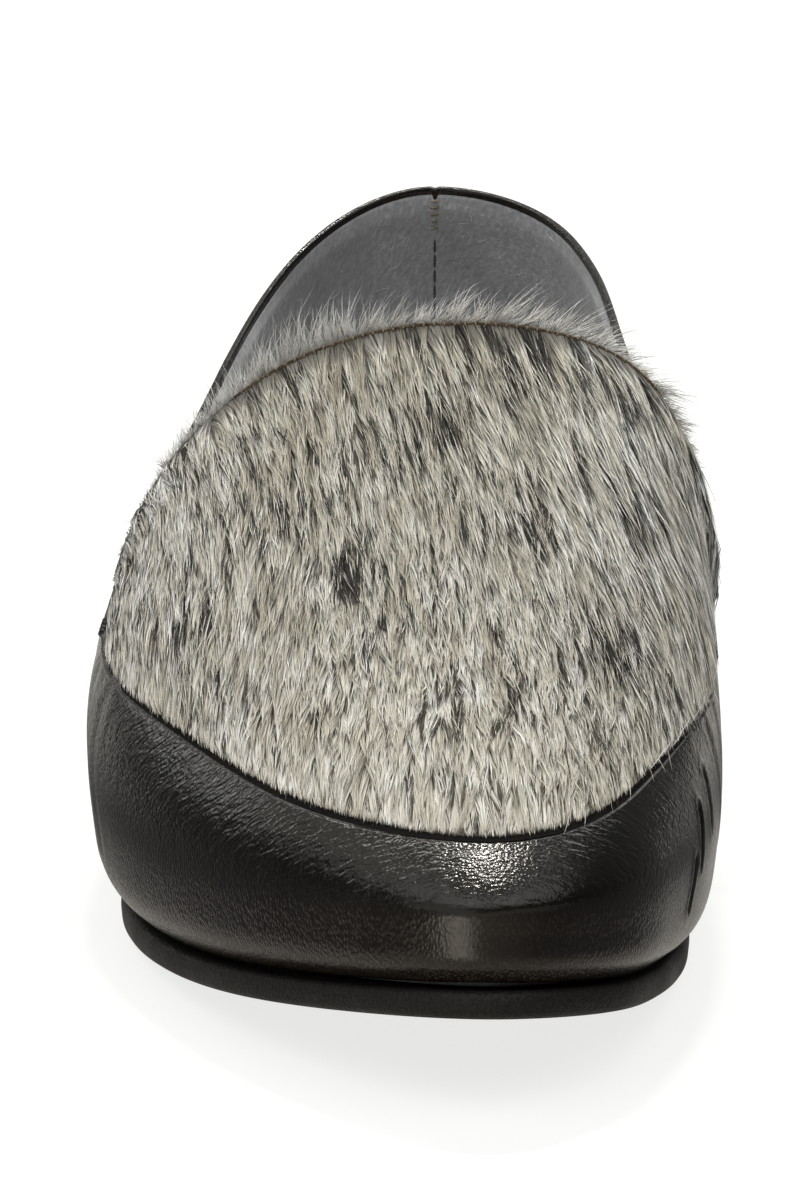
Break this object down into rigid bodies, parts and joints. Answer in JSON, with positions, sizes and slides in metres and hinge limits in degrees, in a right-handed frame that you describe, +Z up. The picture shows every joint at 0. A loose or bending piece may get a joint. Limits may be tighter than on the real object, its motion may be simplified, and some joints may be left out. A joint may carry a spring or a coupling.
{
  "type": "slip-on flat shoe",
  "caption": "Flat slip-on shoe for the right foot: black leather toe guard and quarters, hair-on hide vamp set in a step, open side notches, thin sole and low heel.",
  "frame": {"origin": "on the floor under the centre of the shoe's bounding box", "axes": "+Y from the toe to the heel, +X to the medial (big-toe) side, +Z up"},
  "size_m": [0.083, 0.252, 0.0701],
  "materials": {
    "black_leather": "grained, soft gloss",
    "hair_on_hide": "short cream and grey hair with dark flecks, lying towards the toe",
    "sole_black": "matte",
    "heel_black": "matte",
    "charcoal_lining": "brushed, matte"
  },
  "bodies": {
    "root": {"upper": "black_leather", "vamp_hide": "hair_on_hide", "outsole": "sole_black", "heel": "heel_black", "insole": "charcoal_lining"}
  },
  "joints": []
}
